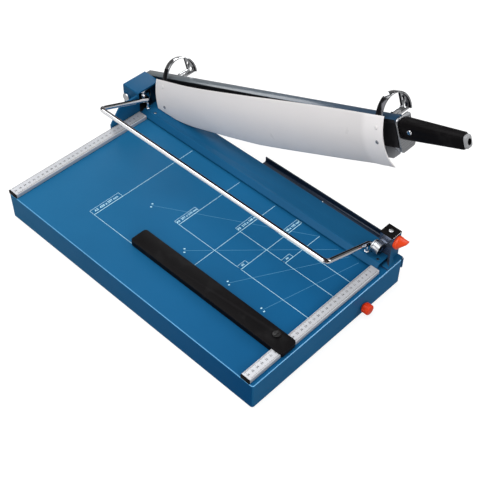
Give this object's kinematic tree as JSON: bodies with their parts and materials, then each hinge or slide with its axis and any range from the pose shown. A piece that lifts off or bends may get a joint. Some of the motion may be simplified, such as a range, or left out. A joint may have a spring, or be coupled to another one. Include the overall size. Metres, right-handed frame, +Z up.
{
  "type": "guillotine paper cutter",
  "caption": "Desk guillotine paper cutter: flat table with scales, pivoting knife arm with handle and lifting blade guard, hand press bail, press beam, backstop and strip gauge.",
  "frame": {"origin": "middle of the whole cutter's footprint, on the desk under its feet, with the arm raised as pictured", "axes": "+Z up, +Y from the operator's side towards the arm's pivot, +X to the right of the cut line"},
  "size_m": [0.433, 0.7138, 0.3505],
  "materials": {
    "table_blue": "satin powder coat",
    "dark_blue": "satin powder coat",
    "pale_grey": "satin paint",
    "black_plastic": "fine grain",
    "black_steel": "blackened steel",
    "aluminium": "matt anodised",
    "chrome": "polished",
    "steel": "ground",
    "red_plastic": "semi gloss",
    "rubber_black": "matt",
    "cap_grey": "matt"
  },
  "bodies": {
    "base": {"table_shell": "table_blue", "rubber_foot_1": "rubber_black", "rubber_foot_2": "rubber_black", "rubber_foot_3": "rubber_black", "rubber_foot_4": "rubber_black", "bed_knife": "steel", "bed_knife_screw_1": "steel", "bed_knife_screw_2": "steel", "bed_knife_screw_3": "steel", "front_scale_bar": "aluminium", "rear_scale_bar": "aluminium", "front_scale_plug": "black_plastic", "rear_scale_plug": "black_plastic", "beam_guide_pin_front": "black_steel", "beam_guide_pin_rear": "black_steel", "beam_lift_spring_front": "steel", "beam_lift_spring_rear": "steel", "pivot_bracket": "dark_blue", "bracket_bolt_1": "steel", "bracket_bolt_2": "steel", "pivot_bolt": "chrome", "disc_spring": "black_steel", "pivot_nut": "steel", "bail_bearing_front": "chrome", "bail_bearing_rear": "steel", "front_bracket": "dark_blue", "bracket_cap": "black_plastic", "cap_screw": "chrome", "lock_lever_pin": "steel", "gauge_guide_front": "aluminium", "gauge_guide_rear": "aluminium"},
    "press_beam": {"press_beam": "dark_blue", "tappet_front": "steel", "tappet_rear": "steel"},
    "press_bail": {"press_bail": "chrome"},
    "arm": {"arm_beam": "dark_blue", "upper_blade": "black_steel", "blade_screw_1": "black_steel", "blade_screw_2": "black_steel", "blade_screw_3": "black_steel", "end_plate": "steel", "handle": "black_plastic", "handle_screw": "chrome", "handle_end_cap": "cap_grey", "guard_pin_front": "steel", "guard_pin_rear": "steel"},
    "guard": {"guard_shell": "pale_grey", "guard_bow_rear": "chrome", "guard_bow_front": "chrome", "guard_rivet_rear_1": "steel", "guard_rivet_rear_2": "steel", "guard_rivet_front_1": "steel", "guard_rivet_front_2": "steel"},
    "lock_lever": {"lock_lever": "red_plastic"},
    "backstop": {"backstop": "black_plastic"},
    "backstop_knob": {"backstop_knob": "black_plastic"},
    "strip_gauge": {"strip_gauge_rail": "black_steel", "gauge_rod_front": "steel", "gauge_rod_rear": "steel"},
    "gauge_knob": {"gauge_knob": "red_plastic"}
  },
  "joints": [
    {"name": "arm_swing", "type": "hinge", "parent": "base", "child": "arm", "pos_m": [0.16053, 0.338, 0.084], "axis": [1, 0, 0], "range_deg": [0, 20.7]},
    {"name": "guard_swing", "type": "hinge", "parent": "arm", "child": "guard", "pos_m": [0.17903, 0.0332, 0.21094], "axis": [0, 0.9354, -0.3535], "range_deg": [0, 76.2]},
    {"name": "bail_press", "type": "hinge", "parent": "base", "child": "press_bail", "pos_m": [0.11503, -0.24399, 0.087], "axis": [0, -1, 0], "range_deg": [0, 26], "stiffness_Nm_per_rad": 1.5, "springref_deg": -28.65},
    {"name": "beam_press", "type": "slide", "parent": "base", "child": "press_beam", "axis": [0, 0, -1], "range_m": [0, 0.0027], "deforming": ["beam_lift_spring_front", "beam_lift_spring_rear"]},
    {"name": "lock_turn", "type": "hinge", "parent": "base", "child": "lock_lever", "pos_m": [0.13953, -0.28199, 0.097], "axis": [0, 1, 0], "range_deg": [0, 90]},
    {"name": "backstop_slide", "type": "slide", "parent": "base", "child": "backstop", "axis": [1, 0, 0], "range_m": [-0.06, 0.2]},
    {"name": "backstop_clamp", "type": "hinge", "parent": "backstop", "child": "backstop_knob", "pos_m": [-0.12497, -0.2551, 0.065], "axis": [0, 0, 1], "range_deg": [0, 90]},
    {"name": "strip_slide", "type": "slide", "parent": "base", "child": "strip_gauge", "axis": [1, 0, 0], "range_m": [0, 0.04]},
    {"name": "gauge_lock_turn", "type": "hinge", "parent": "base", "child": "gauge_knob", "pos_m": [0.04953, -0.297, 0.019], "axis": [0, 1, 0], "range_deg": [0, 180]}
  ],
  "couplings": [
    {"joint": "guard_swing", "follows": "arm_swing", "ratio": 3.67},
    {"joint": "beam_press", "follows": "bail_press", "m_per_rad": 0.00594}
  ]
}
